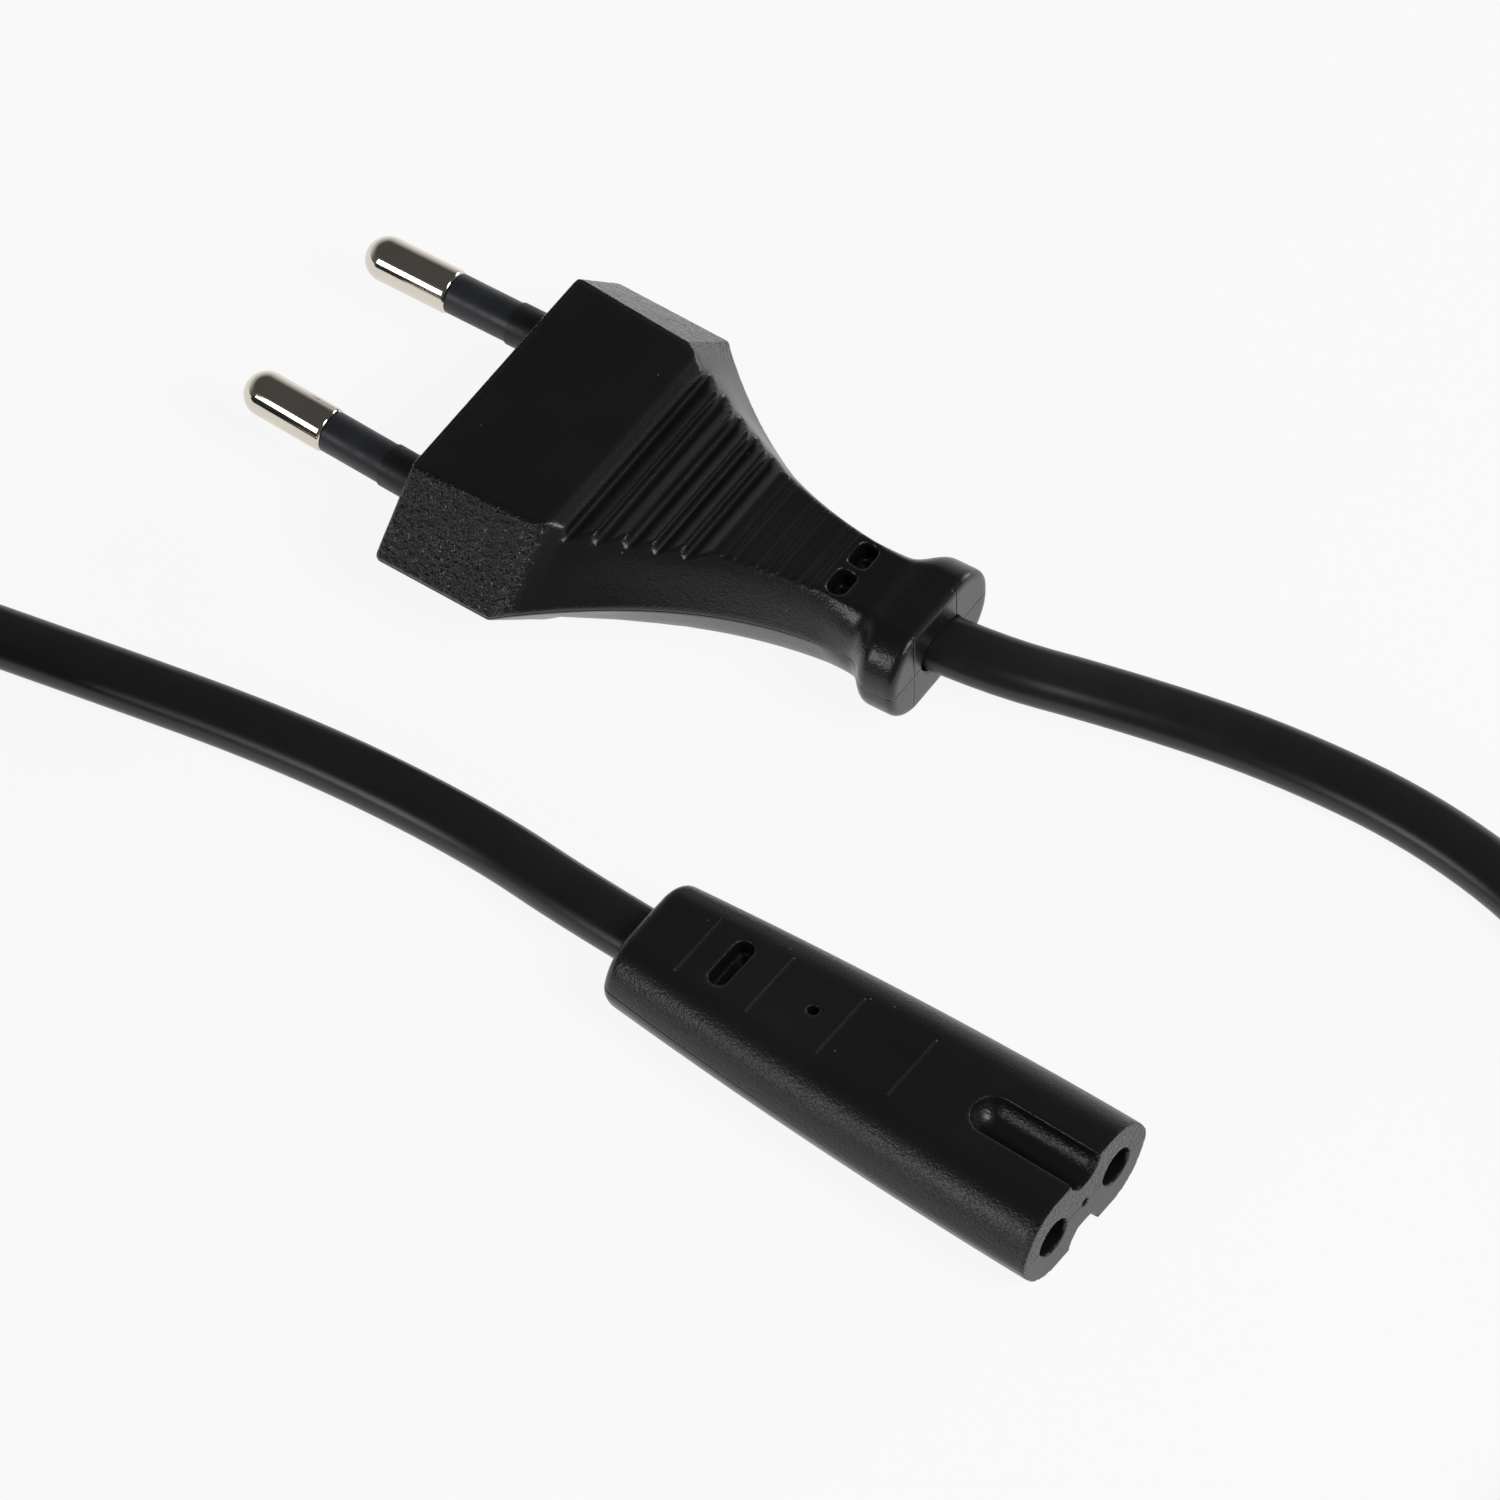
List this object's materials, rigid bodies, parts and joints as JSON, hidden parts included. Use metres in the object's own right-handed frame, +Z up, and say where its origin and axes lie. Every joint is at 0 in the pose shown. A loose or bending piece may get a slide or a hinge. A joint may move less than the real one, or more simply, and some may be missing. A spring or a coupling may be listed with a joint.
{
  "type": "power cord",
  "caption": "Flat mains lead with a moulded pin plug at one end and a figure-8 connector at the other, its spare length folded into a tied hank.",
  "frame": {"origin": "on the floor, under the middle of the box round the plug and the connector", "axes": "+Z up; the plug's cord leaves it 34.2 degrees clockwise of +X, and the connector's cord leaves it 143.4 degrees anticlockwise of +X"},
  "size_m": [0.1791, 0.1384, 0.0181],
  "materials": {
    "moulded_pvc": "fine matte grain",
    "sheath_pvc": "satin extruded",
    "sleeve_plastic": "satin",
    "carrier_plastic": "satin",
    "nickel_plate": "bright nickel plate over brass",
    "contact_brass": "rolled",
    "copper": "bare strands",
    "blue_insulation": "satin",
    "brown_insulation": "satin",
    "tie_plastic": "satin"
  },
  "bodies": {
    "root": {"plug_body": "moulded_pvc", "plug_bridge": "carrier_plastic", "pin_near": "nickel_plate", "pin_far": "nickel_plate", "pin_sleeve_near": "sleeve_plastic", "pin_sleeve_far": "sleeve_plastic", "plug_core_blue": "blue_insulation", "plug_core_brown": "brown_insulation", "plug_strands_blue": "copper", "plug_strands_brown": "copper", "connector_body": "moulded_pvc", "connector_carrier": "carrier_plastic", "contact_near": "contact_brass", "contact_far": "contact_brass", "connector_core_blue": "blue_insulation", "connector_core_brown": "brown_insulation", "connector_strands_blue": "copper", "connector_strands_brown": "copper", "cord_plug_side": "sheath_pvc", "cord_connector_side": "sheath_pvc", "cord_hank": "sheath_pvc", "cord_tie": "tie_plastic"}
  },
  "joints": []
}
